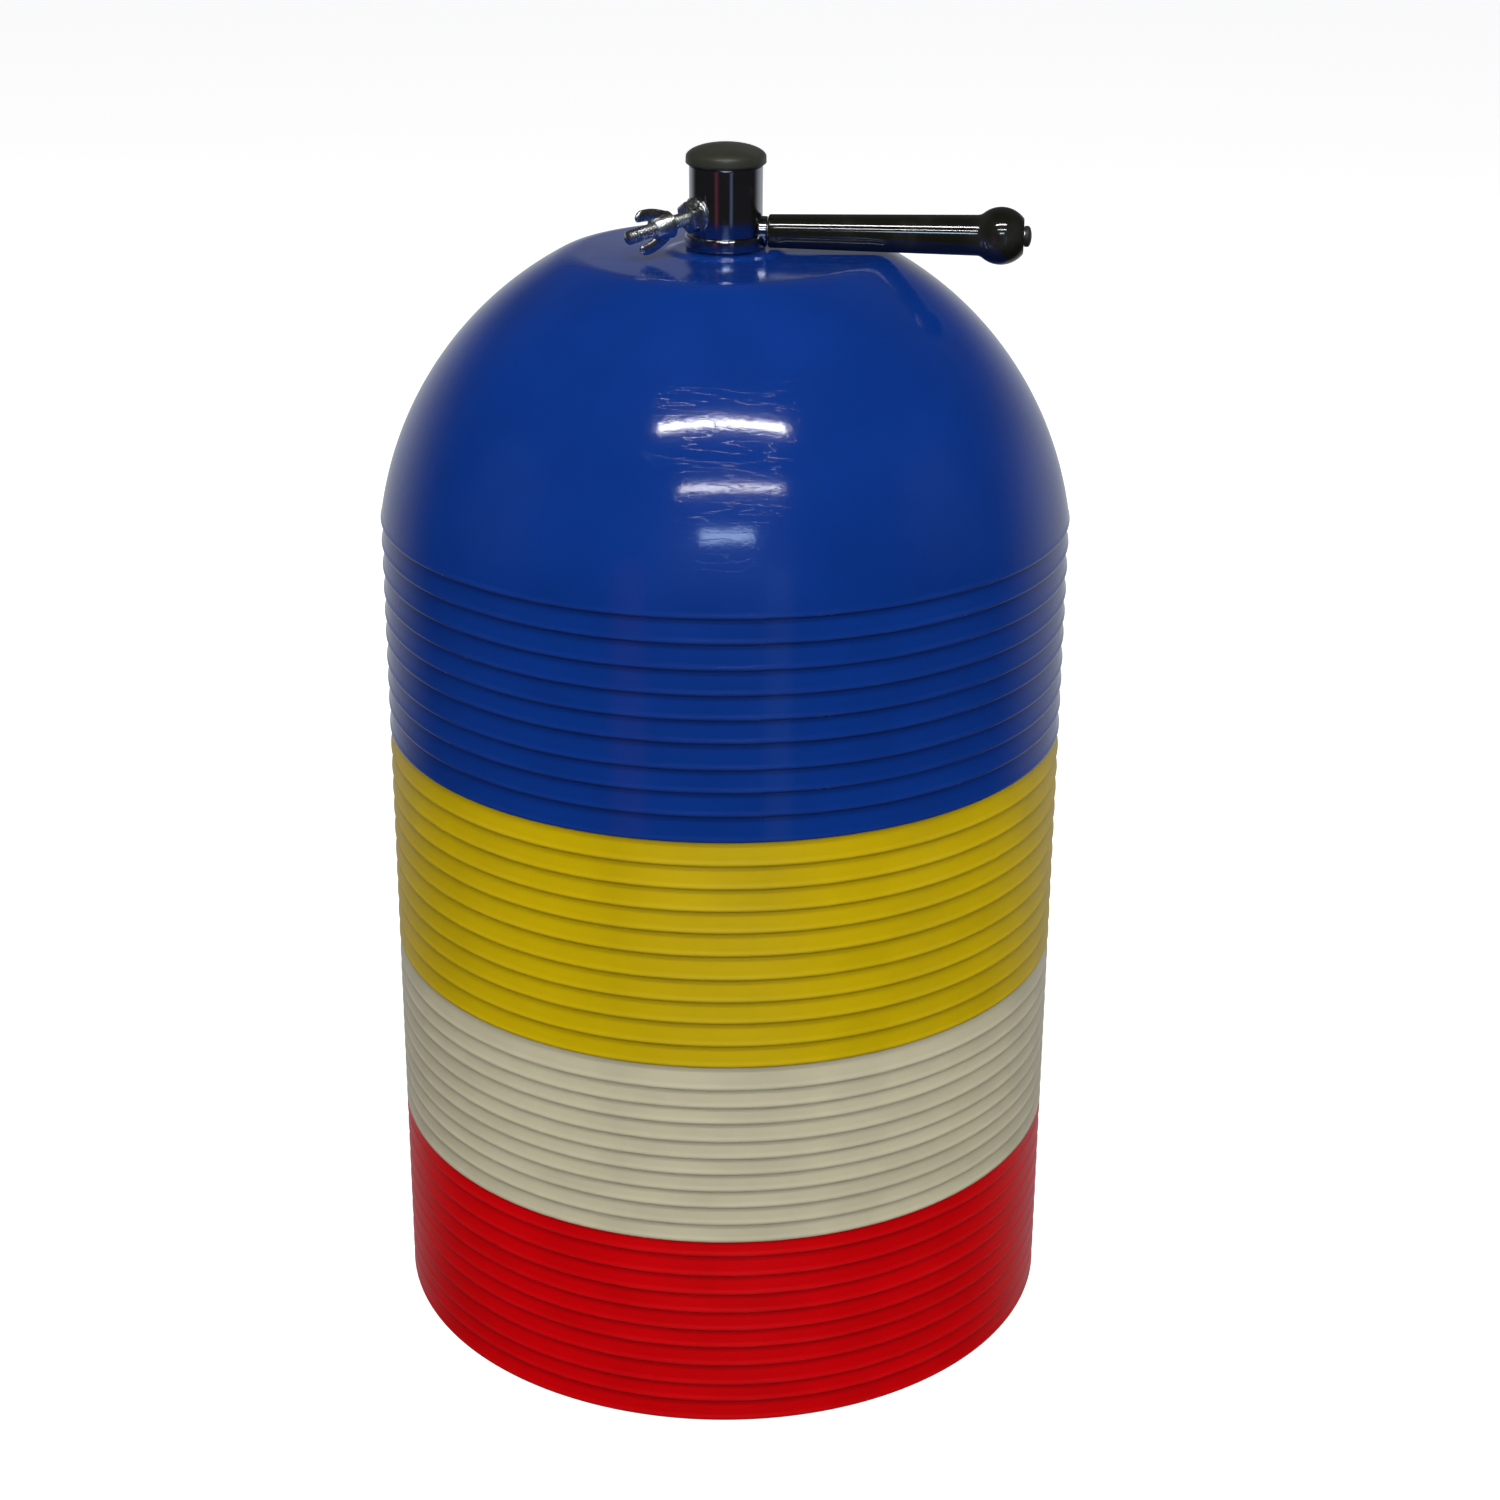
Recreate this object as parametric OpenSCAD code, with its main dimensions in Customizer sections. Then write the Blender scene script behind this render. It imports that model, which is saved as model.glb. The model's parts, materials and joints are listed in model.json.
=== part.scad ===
// Stack of nesting marker domes on a carrying stand.
// Millimetres, +Z up. The origin is the middle of the footprint on the floor, and the
// handle points along +X. Domes are counted from the top of each colour downwards.

/* [Domes] */
// Outside diameter of a dome at its rim
dome_d = 300; // [290:1:380]
// Height of the flat crown above the rim
crown_h = 113.5; // [90:0.5:118]
// Lean of the wall from vertical at the rim, in degrees
rim_lean = 8.4; // [6:0.1:14]
// Diameter of the flat crown
flat_d = 124; // [80:1:128]
// Slope of the shoulder between the flat crown and the round wall, in degrees
shoulder_slope = 13.3; // [8:0.1:20]
// Wall of a blue dome
blue_wall = 1.6; // [1:0.01:2.2]
// Wall of a yellow dome
yellow_wall = 1.55; // [1:0.01:2.2]
// Wall of a white dome
white_wall = 1.1; // [1:0.01:2.2]
// Wall of a red dome
red_wall = 1.33; // [1:0.01:2.2]
// Number of domes of each colour
colour_count = 10; // [2:1:10]
// Gap left between nested domes, and between any two bodies that rest on each other
rest_gap = 0.3; // [0.25:0.05:0.6]
// Height of the lowest rim above the floor
floor_gap = 1; // [0.5:0.1:4]

/* [Pole hole of a dome] */
// Clearance all round between a dome and the pole
pole_clear = 0.8; // [0.5:0.1:2]
// Width of the raised step round the pole hole
step_w = 10.5; // [6:0.5:20]
// Height of the raised step
step_h = 1; // [0.5:0.1:1.4]

/* [Pole] */
// Outside diameter of the pole
pole_d = 25.4; // [20:0.2:32]
// Wall of the pole
pole_wall = 1.5; // [1:0.1:3]
// Running fit all round between the pole and what is fastened to it
pole_fit = 0.1; // [0.05:0.05:0.3]

/* [Base] */
// Diameter of the base plate
base_d = 220; // [160:1:264]
// Thickness of the base plate
base_t = 5; // [3:0.5:8]
// Thickness of the rubber under the base plate
rubber_t = 2.5; // [1.5:0.5:4]
// Width of the rubber outside the base plate
rubber_w = 4; // [2:0.5:6]
// Diameter of the socket's flange
flange_d = 66; // [60:1:100]
// Thickness of the socket's flange
flange_t = 4; // [3:0.5:6]
// Height of the pole socket
socket_h = 38; // [30:1:60]
// Wall of the pole socket
socket_wall = 4; // [3:0.5:6]
// Thread diameter of the screws and bolts
bolt_d = 6; // [4:0.5:7]

/* [Stack seat] */
// Diameter of the disc under the lowest crown
seat_d = 90; // [60:1:118]
// Thickness of the disc
seat_t = 3; // [2:0.5:5]
// Height of the hub under the disc
hub_h = 14; // [12:1:24]
// Wall of the hub
hub_wall = 7; // [5:0.5:10]

/* [Sleeve] */
// Clearance all round between the sleeve and the pole
sleeve_clear = 0.4; // [0.3:0.1:1]
// Wall of the sleeve
sleeve_wall = 2.4; // [1.5:0.1:4]
// Length of the sleeve
sleeve_h = 34.5; // [32:0.1:60]
// Width of the ring outside the sleeve's foot
ring_w = 1.8; // [1:0.1:5]
// Height of the ring
ring_h = 5.9; // [3:0.1:8]
// Overhang of the cap outside the sleeve
cap_lip = 1.5; // [0.5:0.1:4]
// Height of the cap's rim
cap_rim_h = 3.3; // [2:0.1:6]
// Height of the cap's dome
cap_dome_h = 5.8; // [3:0.1:10]
// Depth of the cap's plug in the sleeve
cap_plug_h = 8; // [5:0.5:9]

/* [Clamp screw] */
// Direction of the clamp screw about the pole, from the handle
stud_angle = 220.5; // [150:0.5:260]
// Slope of the clamp screw down from level
stud_drop = 10; // [0:0.5:12]
// Length of the thread beyond the wings
thread_out = 4; // [0:0.5:10]
// Width of the hexagon boss across its corners
boss_d = 14; // [12:0.5:18]
// Reach of the boss outside the sleeve
boss_out = 5.5; // [4:0.5:8]
// Length of bare thread between the boss and the wing nut
bare_thread = 7.5; // [4:0.5:12]
// Length of the wing nut's hub
nut_h = 9; // [7:0.5:12]
// Diameter of the wing nut's hub
nut_d = 11.5; // [10:0.5:13]
// Radius swept by the wings
wing_r = 10; // [8:0.5:14]
// Length of the wings along the screw
wing_h = 18; // [14:0.5:24]
// Thickness of the wings
wing_t = 2.4; // [1.5:0.1:4]
// Least space between the turning wings and the flat crown
wing_clear = 1.2; // [0.5:0.1:4]

/* [Handle] */
// Diameter of the grip at the sleeve
grip_d = 14; // [12:0.5:20]
// Diameter of the grip next to the ball
grip_end_d = 17; // [14:0.5:22]
// Diameter of the ball
ball_d = 24; // [20:0.5:32]
// Length of the ball along the handle
ball_w = 19; // [14:0.5:20]
// Distance of the ball's middle outside the shoulder
ball_out = 47.8; // [30:0.2:80]
// Space between the grip and the flat crown
handle_clear = 1.5; // [1.4:0.1:10]
// Diameter of the spindle inside the grip
spindle_d = 8; // [6:0.5:9]
// Press fit of the spindle in the sleeve and the neck
spindle_fit = 0.05; // [0.02:0.01:0.1]

/* [Hidden] */
$fn = 128;
tiny = 1;

// Domes
rim_r = dome_d / 2;
sphere_r = rim_r / cos(rim_lean);
sphere_z = -rim_r * tan(rim_lean);
edge_r = sqrt(pow(sphere_r, 2) - pow(crown_h - sphere_z, 2));
hole_r = pole_d / 2 + pole_clear;
step_r = hole_r + step_w;

colour_names = ["blue", "yellow", "white", "red"];
colour_walls = [blue_wall, yellow_wall, white_wall, red_wall];
colour_paints = ["#11378f", "#b5a00c", "#c4bd9c", "#b90b10"];
dome_total = 4 * colour_count;

function colour_of(n) = floor(n / colour_count);
function wall_of(n) = colour_walls[colour_of(n)];
function pitch_under(n) = sphere_z
    + sqrt(pow(sphere_r + rest_gap, 2) - pow(sphere_r - wall_of(n), 2) + pow(sphere_z, 2));
function rim_z(n) = n == dome_total - 1 ? floor_gap : rim_z(n + 1) + pitch_under(n);
function two_digits(k) = str(k < 10 ? "0" : "", k);
function dome_name(n) =
    str("dome_", colour_names[colour_of(n)], "_", two_digits(n % colour_count + 1));

top_crown_z = rim_z(0) + crown_h;
low_crown_under_z = floor_gap + crown_h - red_wall;

// Base, socket and seat
base_top = rubber_t + base_t;
base_r = base_d / 2;
rubber_grip = 5;
rubber_lip_t = 1.5;
pole_r = pole_d / 2;
socket_r = pole_r + pole_fit + socket_wall;
screw_r = bolt_d / 2;
screw_fit = 0.1;
screw_circle = (socket_r + flange_d / 2) / 2;
screw_head_r = bolt_d * 0.8;
screw_head_h = bolt_d * 0.5;
screw_bite = base_t - 1;
cross_z = base_top + socket_h * 0.6;
seat_top = low_crown_under_z - rest_gap;
hub_top = seat_top - seat_t;
hub_r = pole_r + pole_fit + hub_wall;
hub_screw_z = hub_top - hub_h / 2;

// Sleeve and cap
sleeve_bore_r = pole_r + sleeve_clear;
sleeve_r = sleeve_bore_r + sleeve_wall;
ring_r = sleeve_r + ring_w;
sleeve_z = top_crown_z + step_h + rest_gap;
sleeve_top = sleeve_z + sleeve_h;
plug_flange_h = 1.5;
plug_h = 12;
plug_gap = 1;
pole_top = sleeve_top - cap_plug_h - plug_flange_h - plug_gap;
cap_r = sleeve_r + cap_lip;
cap_dome_edge = cap_r - 0.8;
cap_sphere_r = (pow(cap_dome_edge, 2) + pow(cap_dome_h, 2)) / (2 * cap_dome_h);

// Clamp screw: its height is set by the wings' clearance over the flat crown
boss_root = 2;
boss_reach = sleeve_r + boss_out;
nut_start = boss_reach + bare_thread;
wing_end = nut_start + wing_h;
stud_reach = wing_end + thread_out;
stud_z = top_crown_z + wing_clear + wing_r * cos(stud_drop) + wing_end * sin(stud_drop);
stud_tip = pole_r + rest_gap + screw_r * sin(stud_drop) + 0.4;
boss_fit = 0.1;

// Handle
grip_r = grip_d / 2;
grip_end_r = grip_end_d / 2;
ball_r = ball_d / 2;
grip_x = ring_r + 0.7;
ball_x = edge_r + ball_out;
handle_end = ball_x + ball_w / 2;
handle_z = top_crown_z + grip_r + handle_clear;
spindle_r = spindle_d / 2;
spindle_start = pole_r + rest_gap + 0.4;
grip_fit = 0.3;
neck_r = grip_r - 0.8;
grip_edge = 0.8;
end_nut_r = spindle_r + 0.4;
end_nut_h = 3;

dome_nodes = [for (n = [0:dome_total - 1]) dome_name(n)];
stand_nodes = ["base_plate", "base_ring", "pole_socket", "socket_screws", "pole", "pole_pin",
    "seat_disc", "seat_hub", "seat_grub_screw", "pole_top_plug"];
handle_nodes = ["sleeve", "sleeve_ring", "sleeve_cap", "clamp_boss", "clamp_stud", "wing_nut",
    "handle_neck", "handle_spindle", "grip", "end_nut"];

// A solid dome whose surface lies inset inside the outside surface, run down by foot
module dome_solid(inset, foot) {
    flat_z = crown_h - inset;
    rotate_extrude() intersection() {
        translate([0, sphere_z]) circle(sphere_r - inset);
        polygon([[0, -foot], [dome_d, -foot], [dome_d, flat_z - (dome_d - flat_d / 2) * tan(shoulder_slope)],
            [flat_d / 2, flat_z], [0, flat_z]]);
    }
}

// One marker dome at its place in the stack
module dome(n) {
    wall = wall_of(n);
    color(colour_paints[colour_of(n)])
    translate([0, 0, rim_z(n)])
    difference() {
        union() {
            dome_solid(0, 0);
            translate([0, 0, crown_h - wall]) cylinder(h = wall + step_h, r = step_r);
        }
        dome_solid(wall, tiny);
        translate([0, 0, crown_h - wall - tiny]) cylinder(h = wall + step_h + 2 * tiny, r = hole_r);
    }
}

// Round steel plate that gives the stand its weight
module base_plate() {
    color("dimgray")
    difference() {
        translate([0, 0, rubber_t]) cylinder(h = base_t, r = base_r);
        each_screw() translate([0, 0, base_top - screw_bite]) cylinder(h = base_t, r = screw_r + screw_fit);
    }
}

// Rubber edge that grips the plate and stands on the floor
module base_ring() {
    color("#1b1b1b")
    difference() {
        cylinder(h = base_top + rubber_lip_t, r = base_r + rubber_w);
        translate([0, 0, -tiny]) cylinder(h = base_top + 4 * tiny, r = base_r - rubber_grip);
        translate([0, 0, rubber_t]) cylinder(h = base_t, r = base_r);
    }
}

module each_screw() {
    for (turn = [45:90:315]) rotate([0, 0, turn]) translate([screw_circle, 0, 0]) children();
}

module cross_pin_line() {
    translate([0, 0, cross_z]) rotate([90, 0, 0]) children();
}

// Flanged socket that holds the foot of the pole
module pole_socket() {
    color("silver")
    difference() {
        union() {
            translate([0, 0, base_top]) cylinder(h = flange_t, d = flange_d);
            translate([0, 0, base_top]) cylinder(h = socket_h, r = socket_r);
        }
        translate([0, 0, base_top - tiny]) cylinder(h = socket_h + 2 * tiny, r = pole_r + pole_fit);
        each_screw() translate([0, 0, base_top - tiny])
            cylinder(h = flange_t + 2 * tiny, r = screw_r + screw_fit);
        cross_pin_line() cylinder(h = 3 * socket_r, r = screw_r + screw_fit, center = true);
    }
}

// Four screws that hold the socket to the plate
module socket_screws() {
    color("silver")
    each_screw() {
        translate([0, 0, base_top - screw_bite]) cylinder(h = screw_bite + flange_t, r = screw_r);
        difference() {
            translate([0, 0, base_top + flange_t]) cylinder(h = screw_head_h, r = screw_head_r);
            translate([0, 0, base_top + flange_t + screw_head_h / 2])
                cylinder(h = screw_head_h, d = bolt_d * 0.8, $fn = 6);
        }
    }
}

// Steel tube that all the domes are threaded on
module pole() {
    color("gainsboro")
    difference() {
        translate([0, 0, base_top]) cylinder(h = pole_top - base_top, r = pole_r);
        translate([0, 0, base_top - tiny])
            cylinder(h = pole_top - base_top + 2 * tiny, r = pole_r - pole_wall);
        cross_pin_line() cylinder(h = 3 * pole_r, r = screw_r + screw_fit, center = true);
    }
}

// Pin through the socket and the pole
module pole_pin() {
    color("silver")
    cross_pin_line() cylinder(h = 2 * socket_r, r = screw_r, center = true);
}

// Disc that carries the stack by the lowest crown
module seat_disc() {
    color("silver")
    difference() {
        translate([0, 0, hub_top]) cylinder(h = seat_t, d = seat_d);
        translate([0, 0, hub_top - tiny]) cylinder(h = seat_t + 2 * tiny, r = pole_r + pole_fit);
    }
}

// Hub under the disc, clamped to the pole
module seat_hub() {
    color("gray")
    difference() {
        translate([0, 0, hub_top - hub_h]) cylinder(h = hub_h, r = hub_r);
        translate([0, 0, hub_top - hub_h - tiny]) cylinder(h = hub_h + 2 * tiny, r = pole_r + pole_fit);
        translate([0, 0, hub_screw_z]) rotate([90, 0, 0]) cylinder(h = 2 * hub_r, r = screw_r + screw_fit);
    }
}

// Grub screw in the hub
module seat_grub_screw() {
    color("dimgray")
    difference() {
        translate([0, -pole_r, hub_screw_z]) rotate([90, 0, 0]) cylinder(h = hub_wall, r = screw_r);
        translate([0, -hub_r + screw_r, hub_screw_z]) rotate([90, 0, 0])
            cylinder(h = 2 * screw_r, d = bolt_d / 2, $fn = 6);
    }
}

// Plastic plug that closes the top of the pole
module pole_top_plug() {
    color("#202020")
    union() {
        translate([0, 0, pole_top - plug_h]) cylinder(h = plug_h, r = pole_r - pole_wall - spindle_fit);
        translate([0, 0, pole_top]) cylinder(h = plug_flange_h, r = pole_r);
    }
}

module stud_line() {
    translate([0, 0, stud_z]) rotate([0, 90 + stud_drop, stud_angle]) children();
}

module handle_line() {
    translate([0, 0, handle_z]) rotate([0, 90, 0]) children();
}

// Chromed sleeve over the end of the pole
module sleeve() {
    color("#8a8f96")
    difference() {
        translate([0, 0, sleeve_z]) cylinder(h = sleeve_h, r = sleeve_r);
        translate([0, 0, sleeve_z - tiny]) cylinder(h = sleeve_h + 2 * tiny, r = sleeve_bore_r);
        stud_line() cylinder(h = 2 * sleeve_r, r = screw_r + 2 * boss_fit);
        handle_line() cylinder(h = 2 * sleeve_r, r = spindle_r + spindle_fit);
    }
}

// Ring round the sleeve's foot, cut out where the handle's neck passes
module sleeve_ring() {
    color("#8a8f96")
    difference() {
        translate([0, 0, sleeve_z]) cylinder(h = ring_h, r = ring_r);
        translate([0, 0, sleeve_z - tiny]) cylinder(h = ring_h + 2 * tiny, r = sleeve_r);
        handle_line() cylinder(h = 2 * ring_r, r = neck_r);
    }
}

// Domed plastic cap in the top of the sleeve
module sleeve_cap() {
    color("#3d3f36")
    union() {
        translate([0, 0, sleeve_top - cap_plug_h]) cylinder(h = cap_plug_h, r = sleeve_bore_r - spindle_fit);
        translate([0, 0, sleeve_top]) cylinder(h = cap_rim_h, r = cap_r);
        intersection() {
            translate([0, 0, sleeve_top + cap_rim_h + cap_dome_h - cap_sphere_r]) sphere(cap_sphere_r);
            translate([0, 0, sleeve_top + cap_rim_h]) cylinder(h = 2 * cap_dome_h, r = cap_r);
        }
    }
}

// Threaded hexagon boss welded to the sleeve
module clamp_boss() {
    color("gainsboro")
    difference() {
        stud_line() translate([0, 0, sleeve_r - boss_root])
            cylinder(h = boss_out + boss_root, d = boss_d, $fn = 6);
        translate([0, 0, sleeve_z - 2 * sleeve_h]) cylinder(h = 4 * sleeve_h, r = sleeve_r);
        stud_line() cylinder(h = 2 * boss_reach, r = screw_r + boss_fit);
    }
}

// Threaded rod that presses on the pole
module clamp_stud() {
    color("gray")
    stud_line() translate([0, 0, stud_tip]) cylinder(h = stud_reach - stud_tip, r = screw_r);
}

// Outline of one wing, from the hub outwards along the screw
module wing_outline() {
    tip_r = 2.6;
    polygon([[screw_r + 1, 0.5], [nut_d / 2 + 1, 1.5], [wing_r, wing_h - 2 * tip_r],
        [wing_r, wing_h - tip_r], [wing_r - 2 * tip_r, wing_h - tip_r], [screw_r + 1, nut_h - 1]]);
    translate([wing_r - tip_r, wing_h - tip_r]) circle(tip_r);
}

// Wing nut fixed on the rod
module wing_nut() {
    color("silver")
    stud_line() translate([0, 0, nut_start])
    difference() {
        union() {
            cylinder(h = nut_h, r1 = nut_d / 2, r2 = nut_d / 2 - 1.2);
            for (side = [0, 180]) rotate([0, 0, side]) rotate([90, 0, 0])
                linear_extrude(height = wing_t, center = true) wing_outline();
        }
        translate([0, 0, -tiny]) cylinder(h = wing_h + 2 * tiny, r = screw_r + spindle_fit);
    }
}

// Chromed neck between the sleeve and the grip
module handle_neck() {
    color("gainsboro")
    difference() {
        handle_line() cylinder(h = grip_x - rest_gap, r = neck_r);
        translate([0, 0, sleeve_z - sleeve_h]) cylinder(h = 3 * sleeve_h, r = sleeve_r);
        handle_line() cylinder(h = 2 * grip_x, r = spindle_r + spindle_fit);
    }
}

// Steel rod that the grip turns on
module handle_spindle() {
    color("gray")
    handle_line() translate([0, 0, spindle_start])
        cylinder(h = handle_end + rest_gap + end_nut_h / 2 - spindle_start, r = spindle_r);
}

// Moulded grip with a ball at its end
module grip() {
    ball_start = ball_x - ball_w / 2;
    color("#15150f")
    handle_line() difference() {
        rotate_extrude() {
            polygon([[0, grip_x], [grip_r - grip_edge, grip_x], [grip_r, grip_x + grip_edge],
                [grip_end_r, ball_start], [grip_end_r, ball_x], [0, ball_x]]);
            intersection() {
                translate([0, ball_x]) circle(ball_r);
                translate([0, ball_start]) square([ball_r + tiny, ball_w]);
            }
        }
        translate([0, 0, grip_x - tiny]) cylinder(h = handle_end, r = spindle_r + grip_fit);
    }
}

// Domed nut that keeps the grip on the spindle
module end_nut() {
    color("#2a2a26")
    handle_line() translate([0, 0, handle_end + rest_gap]) difference() {
        intersection() {
            cylinder(h = end_nut_h, r = end_nut_r);
            translate([0, 0, end_nut_h - 2 * end_nut_r]) sphere(2 * end_nut_r);
        }
        translate([0, 0, -tiny]) cylinder(h = end_nut_h / 2 + tiny, r = spindle_r);
    }
}

base_plate();
base_ring();
pole_socket();
socket_screws();
pole();
pole_pin();
seat_disc();
seat_hub();
seat_grub_screw();
pole_top_plug();
sleeve();
sleeve_ring();
sleeve_cap();
clamp_boss();
clamp_stud();
wing_nut();
handle_neck();
handle_spindle();
grip();
end_nut();
for (n = [0:dome_total - 1]) dome(n);
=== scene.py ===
"""A stack of nesting marker domes on a carrying stand, dressed for a studio view."""

import json
import logging
import math
import random
from dataclasses import dataclass, field
from enum import Enum
from typing import Callable, Mapping, Sequence, Union

import bmesh
import bpy
from mathutils import Matrix, Vector


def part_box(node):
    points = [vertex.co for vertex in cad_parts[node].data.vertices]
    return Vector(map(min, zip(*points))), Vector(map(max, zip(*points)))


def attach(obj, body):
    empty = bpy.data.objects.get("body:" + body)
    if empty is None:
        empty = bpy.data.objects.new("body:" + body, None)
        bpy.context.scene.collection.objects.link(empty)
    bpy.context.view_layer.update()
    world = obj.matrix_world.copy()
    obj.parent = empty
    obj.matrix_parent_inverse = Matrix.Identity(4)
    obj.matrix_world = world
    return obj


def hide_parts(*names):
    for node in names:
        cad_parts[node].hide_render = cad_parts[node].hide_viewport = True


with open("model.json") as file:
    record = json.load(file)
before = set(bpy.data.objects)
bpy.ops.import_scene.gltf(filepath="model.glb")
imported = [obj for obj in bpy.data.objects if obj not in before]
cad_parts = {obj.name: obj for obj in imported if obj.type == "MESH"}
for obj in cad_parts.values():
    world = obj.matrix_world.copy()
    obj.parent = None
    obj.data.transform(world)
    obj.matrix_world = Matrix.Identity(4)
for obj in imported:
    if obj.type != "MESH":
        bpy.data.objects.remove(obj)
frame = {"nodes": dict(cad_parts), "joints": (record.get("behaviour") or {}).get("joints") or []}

LOG = logging.getLogger("marker_domes")
MM = 0.001

Point = tuple[float, float]
Colour = tuple[float, float, float]
Value = Union["Socket", float]
Settings = Mapping[str, object]
Inputs = Mapping[Union[str, int], object]
NOTHING: dict = {}


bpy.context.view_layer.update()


# ---------------------------------------------------------------- shader graphs


class Socket:
    """A node output that adds Math nodes when it is used in an expression."""

    def __init__(self, graph: "Graph", output: bpy.types.NodeSocket) -> None:
        """Keeps the graph and the output that this socket stands for."""
        self.graph = graph
        self.output = output

    def math(self, operation: str, *others: Value, flipped: bool = False) -> "Socket":
        """Adds one Math node.

        Args:
            operation: The Math node's operation.
            others: The other inputs, numbers or sockets.
            flipped: True to put this socket second.

        Returns:
            The result as a socket.
        """
        values: list[Value] = [self, *others]
        if flipped:
            values.reverse()
        return self.graph.node("ShaderNodeMath", {"operation": operation}, dict(enumerate(values)))

    def __add__(self, other: Value) -> "Socket":
        """Returns self + other."""
        return self.math("ADD", other)

    def __radd__(self, other: Value) -> "Socket":
        """Returns other + self."""
        return self.math("ADD", other, flipped=True)

    def __sub__(self, other: Value) -> "Socket":
        """Returns self - other."""
        return self.math("SUBTRACT", other)

    def __rsub__(self, other: Value) -> "Socket":
        """Returns other - self."""
        return self.math("SUBTRACT", other, flipped=True)

    def __mul__(self, other: Value) -> "Socket":
        """Returns self * other."""
        return self.math("MULTIPLY", other)

    def __rmul__(self, other: Value) -> "Socket":
        """Returns other * self."""
        return self.math("MULTIPLY", other, flipped=True)

    def ramp(self, low: float, high: float) -> "Socket":
        """Returns 0 below low and 1 above high, with a smooth rise between them."""
        settings = {"interpolation_type": "SMOOTHSTEP"}
        return self.graph.node("ShaderNodeMapRange", settings, {0: self, 1: low, 2: high, 3: 0.0, 4: 1.0})


class Graph:
    """The node tree of one material or of the world."""

    def __init__(self, tree: bpy.types.NodeTree) -> None:
        """Empties the tree and starts a new graph in it."""
        self.tree = tree
        tree.nodes.clear()

    def add(self, kind: str, settings: Settings, inputs: Inputs) -> bpy.types.Node:
        """Adds a node.

        Args:
            kind: The node's type.
            settings: Its own settings, set first.
            inputs: Numbers, colours or sockets for its inputs, by name or place.

        Returns:
            The node.
        """
        made = self.tree.nodes.new(kind)
        for name, value in settings.items():
            setattr(made, name, value)
        for name, value in inputs.items():
            if isinstance(value, Socket):
                self.tree.links.new(value.output, made.inputs[name])
            else:
                made.inputs[name].default_value = value
        return made

    def node(
        self, kind: str, settings: Settings = NOTHING, inputs: Inputs = NOTHING, output: Union[str, int] = 0
    ) -> Socket:
        """Adds a node whose output is wanted.

        Args:
            kind: The node's type.
            settings: Its own settings.
            inputs: Numbers, colours or sockets for its inputs.
            output: The output wanted, by name or place.

        Returns:
            That output as a socket.
        """
        return Socket(self, self.add(kind, settings, inputs).outputs[output])

    def mix(self, factor: Value, first: object, second: object) -> Socket:
        """Returns the colour between first and second at factor."""
        return self.node("ShaderNodeMix", {"data_type": "RGBA"}, {0: factor, 6: first, 7: second}, 2)

    def place(self, stretch: Colour = (1.0, 1.0, 1.0)) -> Socket:
        """Returns the point on the piece in its own coordinates, stretched.

        Args:
            stretch: How much each axis is multiplied by.

        Returns:
            The vector as a socket.
        """
        spot = self.node("ShaderNodeTexCoord", output="Object")
        return self.node("ShaderNodeMapping", inputs={"Vector": spot, "Scale": stretch})

    def noise(self, scale: float, detail: float = 2.0, stretch: Colour = (1.0, 1.0, 1.0)) -> Socket:
        """Returns soft noise from 0 to 1.

        Args:
            scale: Features per metre.
            detail: How many finer layers it has.
            stretch: How much each axis is multiplied by first.

        Returns:
            The noise value as a socket.
        """
        inputs = {"Vector": self.place(stretch), "Scale": scale, "Detail": detail}
        return self.node("ShaderNodeTexNoise", inputs=inputs)

    def height(self) -> Socket:
        """Returns the height on the piece in its own coordinates, in metres."""
        spot = self.node("ShaderNodeTexCoord", output="Object")
        return self.node("ShaderNodeSeparateXYZ", inputs={0: spot}, output="Z")

    def bump(self, height: Socket, distance: float, strength: float = 1.0) -> Socket:
        """Returns the normal that a height map gives, distance in metres."""
        inputs = {"Height": height, "Distance": distance, "Strength": strength}
        return self.node("ShaderNodeBump", inputs=inputs)


def surface(name: str, shade: Callable[[Graph], Inputs]) -> bpy.types.Material:
    """Makes a material with one main shader.

    Args:
        name: The material's name.
        shade: Gets the graph and gives the shader's inputs.

    Returns:
        The material.
    """
    made = bpy.data.materials.new(name)
    made.use_nodes = True
    graph = Graph(made.node_tree)
    shader = graph.node("ShaderNodeBsdfPrincipled", inputs=shade(graph))
    graph.add("ShaderNodeOutputMaterial", NOTHING, {"Surface": shader})
    return made


def shaded(colour: Colour, share: float) -> tuple[float, float, float, float]:
    """Returns a colour multiplied by share, with alpha."""
    return (colour[0] * share, colour[1] * share, colour[2] * share, 1.0)


# ---------------------------------------------------------------- finishes


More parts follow.
